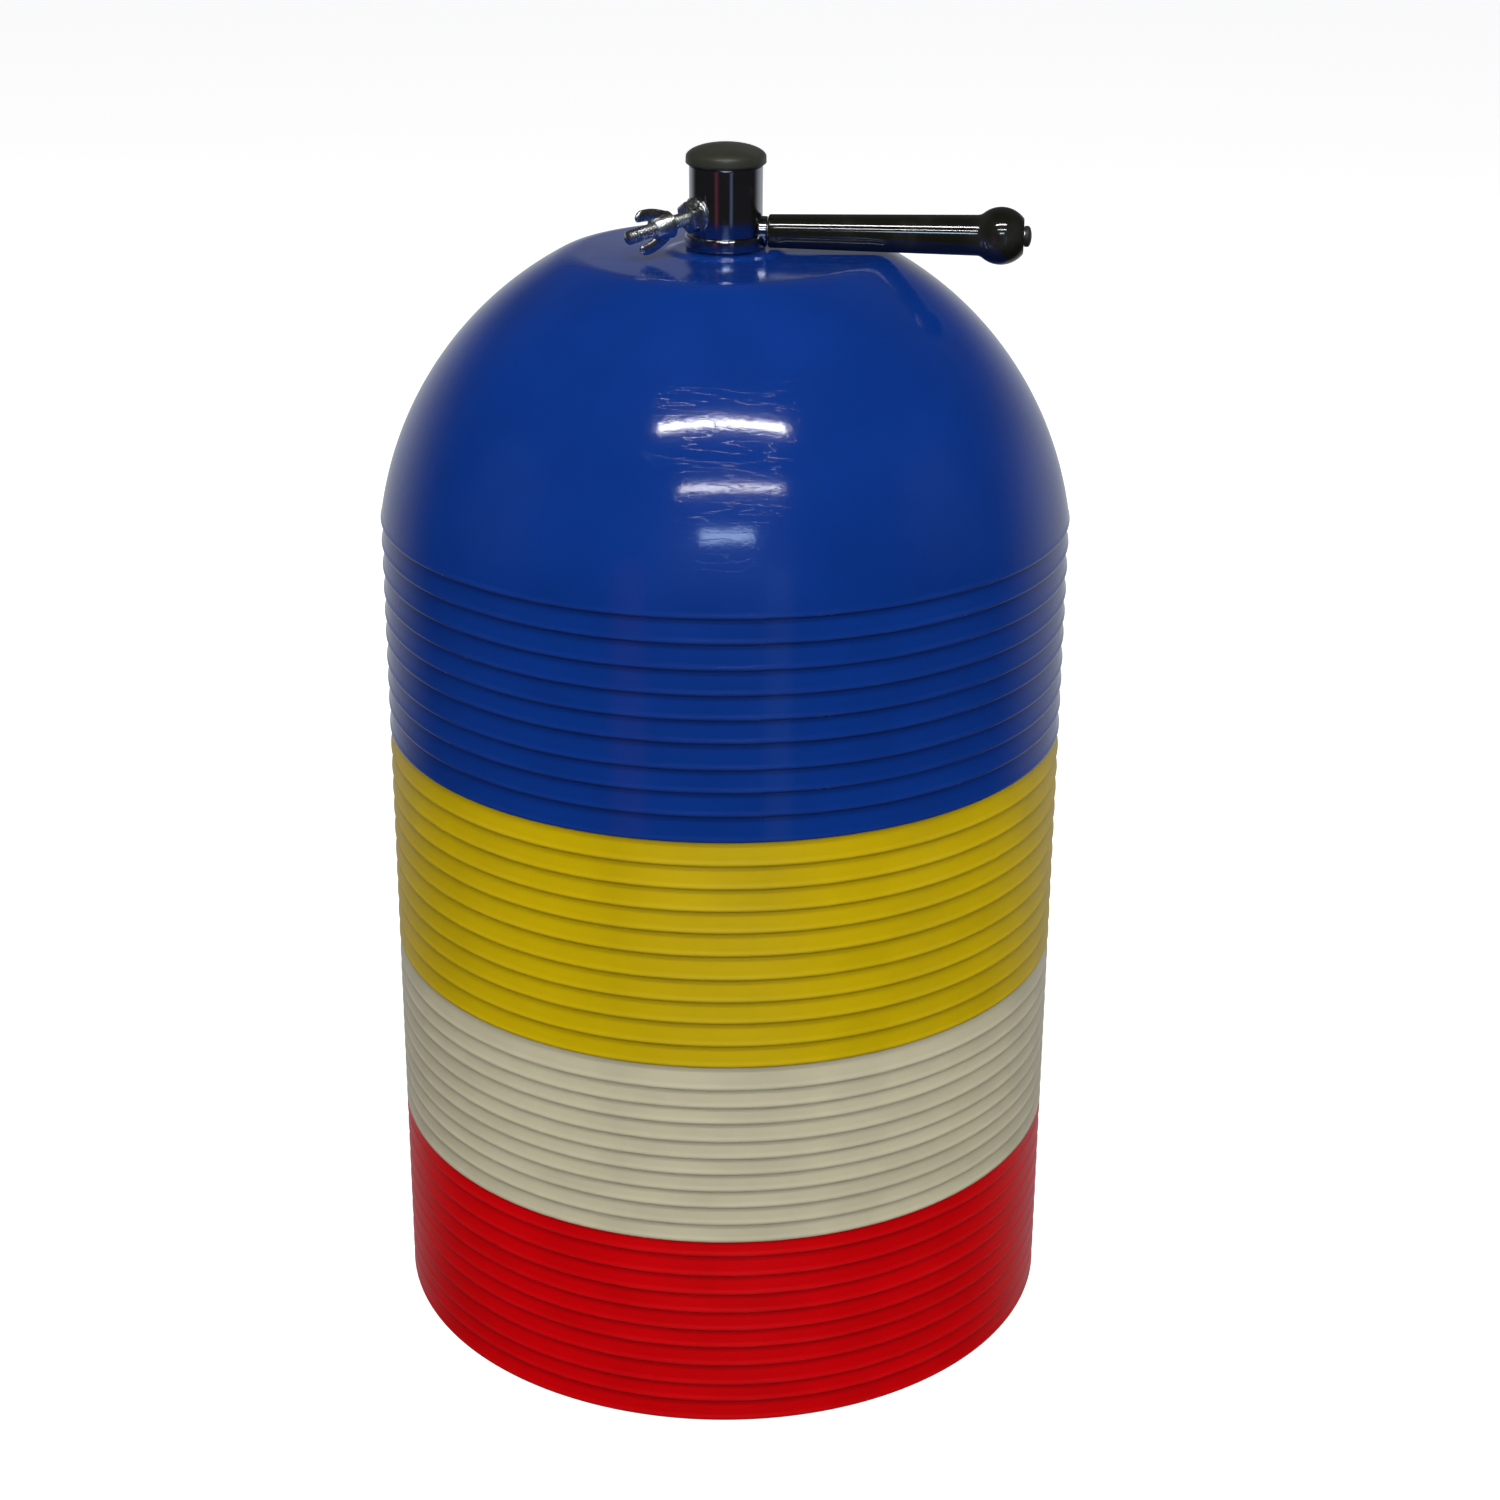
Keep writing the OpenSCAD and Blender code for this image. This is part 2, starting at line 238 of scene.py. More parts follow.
@dataclass(frozen=True)
class DomePlastic:
    """Thin moulded plastic of one colour, scuffed a little at the rim, where a painted highlight lightens it.

    Args:
        name: The record's material slot.
        colour: Its colour.
        gloss: Roughness of a clean surface.
        shine: Its specular level.
        rim_highlight_and_wear: How much lighter the rim is painted, as a painted highlight broken up by rub wear.
    """

    name: str
    colour: Colour
    gloss: float
    shine: float = 0.3
    rim_highlight_and_wear: float = 0.05

    def material(self) -> bpy.types.Material:
        """Returns the plastic with mottling, moulding ripple, fine scratches and a rim that is rougher where rubbed
        and lightened by a painted highlight.
        """

        def shade(graph: Graph) -> Inputs:
            """Gives the shader's inputs."""
            mottle = graph.noise(22.0, 4.0)
            scratch = (graph.noise(260.0, 3.0, (1.0, 0.12, 1.0)) - 0.5).math("ABSOLUTE")
            lines = 1.0 - scratch.ramp(0.0, 0.016)
            rubbed = graph.noise(60.0, 5.0).ramp(0.45, 0.75)
            # Mask of the lowest 2 mm of each dome, patchy where rubbed: it makes the rim rougher (wear) and
            # lightens its colour (painted highlight).
            edge = (1.0 - graph.height().ramp(0.0003, 0.0021)) * (0.5 + 0.5 * rubbed)
            base = graph.mix(mottle.ramp(0.3, 0.7), shaded(self.colour, 0.93), shaded(self.colour, 1.06))
            # pale is the colour of the painted rim highlight.
            pale = tuple(c + (0.55 - c) * 0.5 for c in self.colour)
            colour = graph.mix(edge * self.rim_highlight_and_wear, base, shaded(pale, 1.0))
            rough = self.gloss + 0.05 * mottle + 0.10 * rubbed * lines + 0.16 * edge
            ripple = graph.noise(420.0, 2.0) * 0.7 + graph.noise(38.0, 1.0) * 3.0 + lines * 0.25
            return {
                "Base Color": colour,
                "Roughness": rough,
                "IOR": 1.49,
                "Specular IOR Level": self.shine,
                "Normal": graph.bump(ripple, 0.00005, 0.6),
            }

        return surface(self.name, shade)


@dataclass(frozen=True)
class PolishedMetal:
    """Bright or plated metal with smudges and fine lines.

    Args:
        name: The material's name.
        colour: Its colour.
        rough: Roughness where it is clean.
        grain: How strongly the fine lines show.
        stretch: Which way the lines run, as a stretch of each axis.
    """

    name: str
    colour: Colour
    rough: float
    grain: float = 0.4
    stretch: Colour = (1.0, 1.0, 12.0)

    def material(self) -> bpy.types.Material:
        """Returns the metal."""

        def shade(graph: Graph) -> Inputs:
            """Gives the shader's inputs."""
            smudge = graph.noise(90.0, 4.0).ramp(0.4, 0.75)
            lines = graph.noise(700.0, 2.0, self.stretch)
            tarnish = graph.noise(160.0, 6.0).ramp(0.55, 0.8)
            base = graph.mix(tarnish * 0.35, shaded(self.colour, 1.0), shaded(self.colour, 0.62))
            return {
                "Base Color": base,
                "Metallic": 1.0,
                "Roughness": self.rough + 0.10 * smudge + 0.06 * lines * self.grain,
                "Normal": graph.bump(lines, 0.00002, self.grain),
            }

        return surface(self.name, shade)


@dataclass(frozen=True)
class MouldedBlack:
    """Dark moulded plastic, rubber or powder coat with a fine texture.

    Args:
        name: The material's name.
        colour: Its colour.
        rough: Roughness on the high spots.
        texture: Size of the surface texture, in features per metre.
        depth: Depth of the texture, in metres.
        shine: Its specular level.
    """

    name: str
    colour: Colour
    rough: float
    texture: float = 1800.0
    depth: float = 0.00004
    shine: float = 0.5

    def material(self) -> bpy.types.Material:
        """Returns the dark finish."""

        def shade(graph: Graph) -> Inputs:
            """Gives the shader's inputs."""
            grain = graph.noise(self.texture, 3.0)
            dust = graph.noise(45.0, 5.0).ramp(0.5, 0.85)
            pale = tuple(c + 0.05 for c in self.colour)
            return {
                "Base Color": graph.mix(dust * 0.5, shaded(self.colour, 1.0), shaded(pale, 1.0)),
                "Roughness": self.rough * (1.0 + 0.45 * dust + 0.2 * grain),
                "Specular IOR Level": self.shine,
                "Normal": graph.bump(grain, self.depth, 0.6),
            }

        return surface(self.name, shade)


class Finish(Enum):
    """The finishes of the stack, each with its recipe."""

    BLUE = DomePlastic("blue_plastic", (0.0035, 0.034, 0.235), 0.075, 0.5)
    YELLOW = DomePlastic("yellow_plastic", (0.60, 0.42, 0.001), 0.34, 0.25)
    WHITE = DomePlastic("white_plastic", (0.62, 0.565, 0.39), 0.36, 0.3)
    RED = DomePlastic("red_plastic", (0.68, 0.0006, 0.003), 0.32, 0.2)
    DARK_CHROME = PolishedMetal("sleeve_chrome", (0.42, 0.42, 0.45), 0.07)
    POLE_CHROME = PolishedMetal("pole_chrome", (0.60, 0.60, 0.62), 0.12)
    ZINC = PolishedMetal("zinc_steel", (0.62, 0.62, 0.60), 0.24, 0.8)
    DARK_PAINT = MouldedBlack("dark_paint", (0.03, 0.03, 0.035), 0.42, 1400.0, 0.00006)
    RUBBER = MouldedBlack("black_rubber", (0.015, 0.015, 0.016), 0.62, 2400.0, 0.00006)
    CAP = MouldedBlack("cap_plastic", (0.030, 0.031, 0.021), 0.38)
    GRIP = MouldedBlack("grip_plastic", (0.008, 0.008, 0.005), 0.08, 500.0, 0.000004, 1.0)
    BLACK_PLASTIC = MouldedBlack("black_plastic", (0.02, 0.02, 0.02), 0.4)


class Wardrobe:
    """Makes each finish once and puts it on pieces."""

    def __init__(self) -> None:
        """Starts with no finish made."""
        self.made: dict[Finish, bpy.types.Material] = {}

    def material(self, finish: Finish) -> bpy.types.Material:
        """Returns the finish's material, made the first time that it is asked for."""
        if finish not in self.made:
            self.made[finish] = finish.value.material()
        return self.made[finish]

    def dress(self, piece: bpy.types.Object, finish: Finish) -> None:
        """Puts one finish all over a piece."""
        piece.data.materials.clear()
        piece.data.materials.append(self.material(finish))


WARDROBE = Wardrobe()


# ---------------------------------------------------------------- mesh building


def arc(centre: Point, radius: float, start: float, end: float, steps: int) -> list[Point]:
    """Works out points along an arc.

    Args:
        centre: Its centre, as radius and height.
        radius: Its radius.
        start: Angle of its first point in degrees, 0 being outwards and 90 up.
        end: Angle of its last point.
        steps: Number of stretches between them.

    Returns:
        The points, both ends among them.
    """
    angles = [math.radians(start + (end - start) * i / steps) for i in range(steps + 1)]
    return [(centre[0] + radius * math.cos(a), centre[1] + radius * math.sin(a)) for a in angles]


def mesh_object(name: str, work: bmesh.types.BMesh, crease: float = 35.0) -> bpy.types.Object:
    """Turns a bmesh into a smooth-shaded object with sharp edges kept.

    Args:
        name: The piece's name.
        work: The bmesh, which is freed.
        crease: Angle in degrees above which an edge stays sharp.

    Returns:
        The object.
    """
    bmesh.ops.recalc_face_normals(work, faces=work.faces)
    data = bpy.data.meshes.new(name)
    work.to_mesh(data)
    work.free()
    data.shade_smooth()
    data.set_sharp_from_angle(angle=math.radians(crease))
    made = bpy.data.objects.new(name, data)
    bpy.context.scene.collection.objects.link(made)
    return made


def lathe(name: str, profile: Sequence[Point], segments: int = 96, closed: bool = False) -> bpy.types.Object:
    """Turns a profile about the Z axis.

    Args:
        name: The piece's name.
        profile: Points as radius and height. An end on the axis closes the form there.
        segments: Number of steps round.
        closed: True for a ring, whose last point joins its first.

    Returns:
        The turned piece.
    """
    work = bmesh.new()
    rings = []
    for radius, height in profile:
        if radius < 1e-7:
            rings.append([work.verts.new((0.0, 0.0, height))])
            continue
        turns = [math.tau * k / segments for k in range(segments)]
        rings.append([work.verts.new((radius * math.cos(t), radius * math.sin(t), height)) for t in turns])
    pairs = list(zip(rings, rings[1:]))
    if closed:
        pairs.append((rings[-1], rings[0]))
    for low, high in pairs:
        for k in range(segments):
            n = (k + 1) % segments
            corners = [low[k % len(low)], low[n % len(low)], high[n % len(high)], high[k % len(high)]]
            unique = list(dict.fromkeys(corners))
            if len(unique) > 2:
                work.faces.new(unique)
    return mesh_object(name, work)


def thread(name: str, length: float, radius: float, pitch: float, depth: float) -> bpy.types.Object:
    """Makes a threaded rod along Z with its ends chamfered.

    Args:
        name: The piece's name.
        length: Its length.
        radius: Its outside radius.
        pitch: Height of one turn of the thread.
        depth: Depth of the thread.

    Returns:
        The rod.
    """
    round_steps, per_pitch = 40, 10
    work = bmesh.new()
    count = int(length / pitch * per_pitch)
    rings = []
    for i in range(count + 1):
        z = length * i / count
        end_cut = max(0.0, depth * 1.6 - min(z, length - z))
        ring = []
        for k in range(round_steps):
            turn = k / round_steps
            phase = (z / pitch - turn) % 1.0
            cut = depth * min(1.0, max(0.0, 2.4 * abs(phase - 0.5) - 0.1))
            r = max(radius * 0.5, radius - max(cut, end_cut))
            ring.append(work.verts.new((r * math.cos(math.tau * turn), r * math.sin(math.tau * turn), z)))
        rings.append(ring)
    for low, high in zip(rings, rings[1:]):
        for k in range(round_steps):
            n = (k + 1) % round_steps
            work.faces.new([low[k], low[n], high[n], high[k]])
    work.faces.new(rings[0])
    work.faces.new(rings[-1])
    return mesh_object(name, work, 60.0)


@dataclass(frozen=True)
class Section:
    """One cross-section of a loft: a soft-cornered rectangle.

    Args:
        centre: Its middle.
        across: Half its width, as a vector.
        through: Half its thickness, as a vector.
    """

    centre: Vector
    across: Vector
    through: Vector


def loft(name: str, sections: Sequence[Section], steps: int = 28, square: float = 3.0) -> bpy.types.Object:
    """Skins a run of cross-sections and closes both ends.

    Args:
        name: The piece's name.
        sections: The cross-sections in order.
        steps: Points round each of them.
        square: 2 for ellipses, more for squarer corners.

    Returns:
        The lofted piece.
    """
    work = bmesh.new()
    rings = []
    for part in sections:
        ring = []
        for k in range(steps):
            c, s = math.cos(math.tau * k / steps), math.sin(math.tau * k / steps)
            x = math.copysign(abs(c) ** (2.0 / square), c)
            y = math.copysign(abs(s) ** (2.0 / square), s)
            ring.append(work.verts.new(part.centre + part.across * x + part.through * y))
        rings.append(ring)
    for low, high in zip(rings, rings[1:]):
        for k in range(steps):
            n = (k + 1) % steps
            work.faces.new([low[k], low[n], high[n], high[k]])
    work.faces.new(rings[0])
    work.faces.new(rings[-1])
    return mesh_object(name, work, 50.0)


def join(name: str, pieces: Sequence[bpy.types.Object]) -> bpy.types.Object:
    """Joins pieces into one object.

    Args:
        name: The new piece's name.
        pieces: What is joined. They are removed.

    Returns:
        The joined piece.
    """
    work = bmesh.new()
    for piece in pieces:
        piece.data.transform(piece.matrix_world)
        work.from_mesh(piece.data)
        bpy.data.objects.remove(piece)
    return mesh_object(name, work, 40.0)


def put(
    piece: bpy.types.Object, body: str, finish: Finish, replaced: Sequence[str] = ()
) -> bpy.types.Object:
    """Dresses a piece, makes it ride on its body and hides the CAD nodes it stands for.

    Args:
        piece: The piece, already in its place.
        body: The body it moves with.
        finish: Its finish.
        replaced: The CAD nodes it stands for.

    Returns:
        The same piece.
    """
    if not piece.data.materials:
        WARDROBE.dress(piece, finish)
    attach(piece, body)
    if replaced:
        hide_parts(*replaced)
    LOG.info("piece %s on %s", piece.name, body)
    return piece


def keep(node: str, finish: Finish, bevel: float = 0.0) -> None:
    """Gives a carried-over node its finish and softened edges.

    Args:
        node: The node's name.
        finish: Its finish.
        bevel: Width of the softened edges in metres, or 0.
    """
    piece = frame["nodes"][node]
    WARDROBE.dress(piece, finish)
    if bevel:
        soft = piece.modifiers.new("soft_edges", "BEVEL")
        soft.width = bevel
        soft.segments = 2
        soft.limit_method = "ANGLE"
        soft.angle_limit = math.radians(40.0)
        soft.harden_normals = False
    LOG.info("kept %s", node)


# ---------------------------------------------------------------- the domes


@dataclass
class MarkerDome:
    """The shape of one marker dome, its rim at height 0.

    Args:
        rim_radius: Outside radius at the rim.
        lean: Lean of the wall at the rim, in degrees.
        crown: Height of the flat crown.
        wall: Thickness of the plastic.
        shoulder: Radius of the rounded shoulder.
        step_radius: Radius of the raised step round the pole hole.
        step_height: Its height.
        hole_radius: Radius of the pole hole.
        bead: How far the rim's bead stands out.
    """

    rim_radius: float
    lean: float
    crown: float
    wall: float
    shoulder: float = 22 * MM
    step_radius: float = 24 * MM
    step_height: float = 1 * MM
    hole_radius: float = 13.5 * MM
    bead: float = 0.22 * MM

    def wall_line(self, inset: float, low: float, steps: int) -> list[Point]:
        """Works out the round wall and the shoulder.

        Args:
            inset: How far inside the outside surface the line lies.
            low: Height at which it starts.
            steps: Steps along the round wall.

        Returns:
            The points from low up to the edge of the flat crown.
        """
        ball = self.rim_radius / math.cos(math.radians(self.lean))
        centre = -self.rim_radius * math.tan(math.radians(self.lean))
        rise = self.crown - self.shoulder - centre
        reach = math.sqrt((ball - self.shoulder) ** 2 - rise**2)
        top = math.degrees(math.atan2(rise, reach))
        start = math.degrees(math.asin((low - centre) / (ball - inset)))
        wall = arc((0.0, centre), ball - inset, start, top, steps)
        if inset == 0.0:
            wall = [(r + self.swell(z), z) for r, z in wall]
        round_top = arc((reach, self.crown - self.shoulder), self.shoulder - inset, top, 90.0, 8)
        return wall + round_top[1:]

    def swell(self, height: float) -> float:
        """Returns how far the rim's bead stands out at a height."""
        middle, spread = 1.3 * MM, 0.9 * MM
        return self.bead * math.exp(-(((height - middle) / spread) ** 2))

    def profile(self) -> list[Point]:
        """Returns the closed half section."""
        e = 0.44 * self.wall
        low = [e + 0.1 * MM + 0.45 * MM * k for k in range(9)]
        outside = self.wall_line(0.0, low[-1] + 0.6 * MM, 34)
        ball = self.rim_radius / math.cos(math.radians(self.lean))
        centre = -self.rim_radius * math.tan(math.radians(self.lean))
        rim = [(math.sqrt(ball**2 - (z - centre) ** 2) + self.swell(z), z) for z in low]
        under = arc((self.rim_radius - e, e), e, -90.0, 0.0, 4)
        top = self.crown + self.step_height
        blend = 3 * MM
        step = []
        for k in range(11):
            rise = 0.5 - 0.5 * math.cos(math.pi * k / 10)
            step.append((self.step_radius + blend * (1.0 - k / 5), self.crown + self.step_height * rise))
        hole = [
            *arc((self.hole_radius + e, top - e), e, 90.0, 180.0, 4),
            *arc((self.hole_radius + e, self.crown - self.wall + e), e, 180.0, 270.0, 4),
        ]
        inside = self.wall_line(self.wall, e + 0.6 * MM, 22)
        inside.reverse()
        inner_rim = inside[-1][0] - 0.08 * MM
        lip = arc((inner_rim + e, e), e, 180.0, 270.0, 4)
        return under + rim + outside + step + hole + inside + lip


class DomeColour(Enum):
    """The colours from the top of the stack to its foot, with each one's finish."""

    BLUE = ("blue", Finish.BLUE)
    YELLOW = ("yellow", Finish.YELLOW)
    WHITE = ("white", Finish.WHITE)
    RED = ("red", Finish.RED)


@dataclass
class DomeStack:
    """All the marker domes on the pole.

    Args:
        lean: Lean of a dome's wall at its rim, in degrees.
        crown: Height of a dome's flat crown above its rim.
        segments: Steps round a dome.
        unevenness: How far a dome may sit above or below its even place.
    """

    lean: float = 8.4
    crown: float = 113.5 * MM
    segments: int = 192
    unevenness: float = 0.55 * MM
    walls: Mapping[str, float] = field(
        default_factory=lambda: {"blue": 1.6 * MM, "yellow": 1.55 * MM, "white": 1.1 * MM, "red": 1.33 * MM}
    )

    def nodes_of(self, colour: str) -> list[str]:
        """Returns the CAD nodes of one colour, from the top down."""
        return sorted(n for n in frame["nodes"] if n.startswith(f"dome_{colour}_"))

    def build(self) -> None:
        """Builds every dome as a turned shell and puts it in its place."""
        draw = random.Random(40)
        for colour in DomeColour:
            word, finish = colour.value
            nodes = self.nodes_of(word)
            low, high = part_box(nodes[0])
            shape = MarkerDome(max(high.x, high.y), self.lean, self.crown, self.walls[word])
            pattern = lathe(f"pattern_{word}", shape.profile(), self.segments, closed=True)
            WARDROBE.dress(pattern, finish)
            for node in nodes:
                piece = bpy.data.objects.new(f"marker_{node}", pattern.data)
                bpy.context.scene.collection.objects.link(piece)
                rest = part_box(node)[0].z
                first_or_last = node in ("dome_blue_01", "dome_red_10")
                shift = 0.0 if first_or_last else draw.uniform(-1.0, 1.0) * self.unevenness
                turn = draw.randrange(4) * math.pi / 2.0
                piece.matrix_world = Matrix.Translation((0.0, 0.0, rest + shift)) @ Matrix.Rotation(turn, 4, "Z")
                put(piece, f"{node}_shell", finish, (node,))
            bpy.data.objects.remove(pattern)


# ---------------------------------------------------------------- the stand


@dataclass
class FootStand:
    """The hidden stand: foot plate, rubber edge, socket, pole and stack seat.

    Args:
        grip: How far the rubber edge reaches in over the plate.
        edge: Radius of the rubber's rounded edges.
        rib: Depth of its ribs.
        rib_pitch: Height from one rib to the next.
        rib_count: Number of ribs.
        body: The body that all its pieces move with.
    """

    grip: float = 5 * MM
    edge: float = 0.8 * MM
    rib: float = 0.35 * MM
    rib_pitch: float = 1.6 * MM
    rib_count: int = 4
    body: str = "stand"

    def build(self) -> None:
        """Dresses the stand's pieces and rebuilds the rubber edge."""
        keep("base_plate", Finish.DARK_PAINT, 0.4 * MM)
        keep("pole_socket", Finish.ZINC, 0.5 * MM)
        keep("socket_screws", Finish.ZINC, 0.3 * MM)
        keep("pole", Finish.POLE_CHROME)
        keep("pole_pin", Finish.ZINC, 0.3 * MM)
        keep("seat_disc", Finish.ZINC, 0.4 * MM)
        keep("seat_hub", Finish.DARK_PAINT, 0.4 * MM)
        keep("seat_grub_screw", Finish.ZINC)
        keep("pole_top_plug", Finish.BLACK_PLASTIC, 0.3 * MM)
        self.rubber_edge()

    def rubber_edge(self) -> None:
        """Makes the ribbed rubber edge of the foot plate."""
        low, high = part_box("base_ring")
        plate_low, plate_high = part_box("base_plate")
        outside, plate = high.y, plate_high.y
        inside, e = plate - self.grip, self.edge
        ribs = []
        for k in range(self.rib_count):
            z = e + (k + 0.7) * self.rib_pitch
            ribs += [(outside, z), (outside - self.rib, z + self.rib_pitch / 4), (outside, z + self.rib_pitch / 2)]
        outline = [
            *arc((inside + e, low.z + e), e, 180.0, 270.0, 4),
            *arc((outside - e, low.z + e), e, 270.0, 360.0, 4),
            *ribs,
            *arc((outside - e, high.z - e), e, 0.0, 90.0, 4),
            *arc((inside + e, high.z - e), e * 0.6, 90.0, 180.0, 4),
            (inside + 0.3 * MM, plate_high.z),
            (plate, plate_high.z),
            (plate, plate_low.z),
            (inside, plate_low.z),
        ]
        ring = lathe("foot_rubber_edge", outline, 160, closed=True)
        put(ring, self.body, Finish.RUBBER, ("base_ring",))


# ---------------------------------------------------------------- the sleeve and its screw


@dataclass
class ClampSleeve:
    """The chromed sleeve with its foot ring, cap, boss and clamp screw.

    Args:
        screw_angle: Direction of the clamp screw about the pole, in degrees.
        screw_drop: Its slope down from level, in degrees.
        screw_radius: Outside radius of its thread.
        screw_start: Distance of its tip from the pole's middle.
        screw_end: Distance of its outer end.
        thread_pitch: Height of one turn of its thread.
        thread_depth: Depth of its thread.
        boss_start: Distance of the boss's foot from the pole's middle.
        boss_end: Distance of its outer face.
        boss_corner: Radius of its corners.
        nut_start: Distance of the wing nut from the pole's middle.
        nut_height: Length of its hub.
        nut_foot: Radius of the hub at its foot.
        nut_head: Radius of the hub at its head.
        wing_root: Middle of a wing's root, across and along the screw.
        wing_tip: Middle of a wing's tip.
        edge: Radius of a rounded edge.
        body: The body that the sleeve's pieces move with.
        screw_body: The body that the screw's pieces move with.
    """

    screw_angle: float = 220.5
    screw_drop: float = 10.0
    screw_radius: float = 3 * MM
    screw_start: float = 13.95 * MM
    screw_end: float = 50.5 * MM
    thread_pitch: float = 1.25 * MM
    thread_depth: float = 0.45 * MM
    boss_start: float = 14.5 * MM
    boss_end: float = 21 * MM
    boss_corner: float = 7 * MM
    nut_start: float = 28.5 * MM
    nut_height: float = 9 * MM
    nut_foot: float = 5.75 * MM
    nut_head: float = 4.55 * MM
    wing_root: Point = (3.6 * MM, 31.5 * MM)
    wing_tip: Point = (7.3 * MM, 45.2 * MM)
    edge: float = 0.5 * MM
    body: str = "handle_sleeve"
    screw_body: str = "clamp_screw"

    def along_screw(self) -> Matrix:
        """Returns the place whose Z axis runs outwards along the clamp screw."""
        joint = next(j for j in frame["joints"] if j["name"] == "carrier_wing_nut_turn")
        turn = Matrix.Rotation(math.radians(self.screw_angle), 4, "Z")
        tilt = Matrix.Rotation(math.radians(90.0 + self.screw_drop), 4, "Y")
        return Matrix.Translation(joint["pos_m"]) @ turn @ tilt

    def build(self) -> None:
        """Builds every piece of the sleeve and the screw."""
        self.tube()
        self.foot_ring()
        self.cap()
        self.boss()
        self.screw()
        self.wing_nut()

    def tube(self) -> None:
        """Makes the chromed tube with rounded ends."""
        low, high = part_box("sleeve")
        outside, inside, e = high.x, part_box("pole")[1].x + 0.4 * MM, self.edge
        outline = [
            *arc((inside + e, low.z + e), e, 180.0, 270.0, 4),
            *arc((outside - e, low.z + e), e, 270.0, 360.0, 4),
            *arc((outside - e, high.z - e), e, 0.0, 90.0, 4),
            *arc((inside + e, high.z - e), e, 90.0, 180.0, 4),
        ]
        put(lathe("chromed_sleeve", outline, 128, closed=True), self.body, Finish.DARK_CHROME, ("sleeve",))

    def foot_ring(self) -> None:
        """Makes the ring round the sleeve's foot."""
        low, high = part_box("sleeve_ring")
        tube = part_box("sleeve")[1].x
        outside, e = high.y, 1.1 * MM
        outline = [
            (tube - 0.2 * MM, low.z),
            *arc((outside - e, low.z + e), e, 270.0, 360.0, 5),
            *arc((outside - e, high.z - e), e, 0.0, 90.0, 5),
            (tube - 0.2 * MM, high.z),
        ]
        put(lathe("sleeve_foot_ring", outline, 128, closed=True), self.body, Finish.DARK_CHROME, ("sleeve_ring",))

    def cap(self) -> None:
        """Makes the domed cap with its rim and its plug in the sleeve."""
        low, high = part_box("sleeve_cap")
        rim_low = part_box("sleeve")[1].z
        rim, plug = high.x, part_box("pole")[1].x + 0.3 * MM
        rim_high = rim_low + 3.3 * MM
        dome_h, e = high.z - rim_high, 0.7 * MM
        angles = [math.radians(6.0 + 84.0 * k / 16) for k in range(17)]
        dome = [(rim * math.cos(a), rim_high + dome_h * math.sin(a)) for a in angles]
        outline = [
            (0.0, low.z),
            (plug - e, low.z),
            (plug, low.z + e),
            (plug, rim_low),
            (rim - 1.4 * MM, rim_low),
            *arc((rim - e, rim_low + e + 0.7 * MM), e, -60.0, 0.0, 4),
            *dome[:-1],
            (0.0, high.z),
        ]
        put(lathe("sleeve_top_cap", outline, 96), self.body, Finish.CAP, ("sleeve_cap",))

    def boss(self) -> None:
        """Makes the hexagon boss with chamfered corners and its weld."""
        start, end, corner = self.boss_start, self.boss_end, self.boss_corner
        bore, cut = self.screw_radius + 0.05 * MM, corner / 10.0
        outline = [
            (bore, start),
            (corner - cut, start),
            (corner, start + cut),
            (corner, end - cut),
            (corner - 1.4 * cut, end),
            (bore + 0.5 * MM, end),
            (bore, end - 0.5 * MM),
        ]
        hexagon = lathe("boss_hexagon", outline, 6, closed=True)
        bevel = hexagon.modifiers.new("soft_edges", "BEVEL")
        bevel.width, bevel.segments, bevel.limit_method = 0.25 * MM, 2, "ANGLE"
        weld_r, weld_z = 6.4 * MM, 15.6 * MM
        weld = lathe("boss_weld", arc((weld_r, weld_z), 1.1 * MM, 0.0, 330.0, 11), 48, closed=True)
        for vertex in weld.data.vertices:
            angle = math.atan2(vertex.co.y, vertex.co.x)
            vertex.co.z += 0.25 * MM * math.sin(14.0 * angle) - 1.2 * MM * math.sin(angle) ** 2
        for piece in (hexagon, weld):
            piece.matrix_world = self.along_screw()
        put(hexagon, self.body, Finish.ZINC, ("clamp_boss",))
        put(weld, self.body, Finish.ZINC)

    def screw(self) -> None:
        """Makes the threaded rod of the clamp screw."""
        length = self.screw_end - self.screw_start
        rod = thread("clamp_screw_thread", length, self.screw_radius, self.thread_pitch, self.thread_depth)
        rod.matrix_world = self.along_screw() @ Matrix.Translation((0.0, 0.0, self.screw_start))
        put(rod, self.screw_body, Finish.ZINC, ("clamp_stud",))

    def wing_nut(self) -> None:
        """Makes the wing nut: a tapered hub and two flaring wings."""
        start, height, e = self.nut_start, self.nut_height, self.edge
        low_r, high_r, bore = self.nut_foot, self.nut_head, self.screw_radius - 0.1 * MM
        hub = lathe(
            "wing_nut_hub",
            [
                (bore, start),
                (low_r - e, start),
                (low_r, start + e),
                (high_r, start + height - e),
                (high_r - e, start + height),
                (bore, start + height),
            ],
            64,
            closed=True,
        )
        wings = [self.wing(f"wing_nut_wing_{side}", side) for side in (-1.0, 1.0)]
        nut = join("clamp_wing_nut", [hub, *wings])
        nut.matrix_world = self.along_screw()
        put(nut, self.screw_body, Finish.ZINC, ("wing_nut",))

